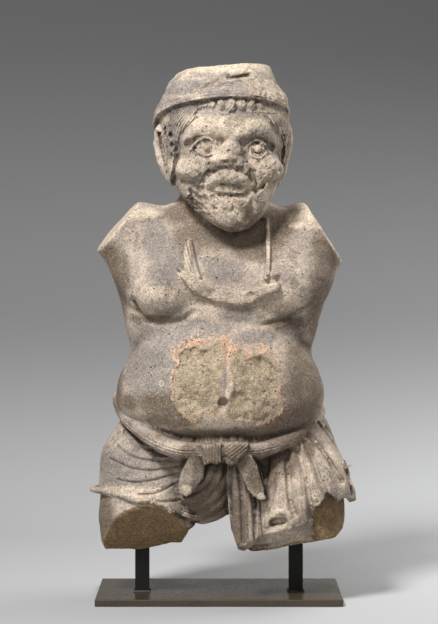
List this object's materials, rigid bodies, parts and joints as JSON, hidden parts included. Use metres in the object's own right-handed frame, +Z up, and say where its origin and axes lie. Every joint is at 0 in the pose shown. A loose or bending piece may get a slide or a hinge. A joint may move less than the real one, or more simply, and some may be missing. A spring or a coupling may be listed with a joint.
{
  "type": "yaksha figure",
  "caption": "Pot-bellied standing stone figure in a cap, garland and knotted sash over a pleated cloth, arms and legs broken off, held up on square posts above a flat plate.",
  "frame": {"origin": "middle of the underside of the base plate", "axes": "+Z up through the head, the figure faces -Y, and +X is to the viewer's right"},
  "size_m": [0.4884, 0.2862, 0.9774],
  "materials": {
    "sandstone": "weathered buff sandstone with a grey-mauve patina, worn edges and ochre-brown breaks",
    "black_steel": "satin black coating on square bar",
    "bronzed_steel": "waxed grey-brown satin on flat plate"
  },
  "bodies": {
    "root": {"yaksha_figure": "sandstone", "left_post": "black_steel", "right_post": "black_steel", "base_plate": "bronzed_steel"}
  },
  "joints": []
}
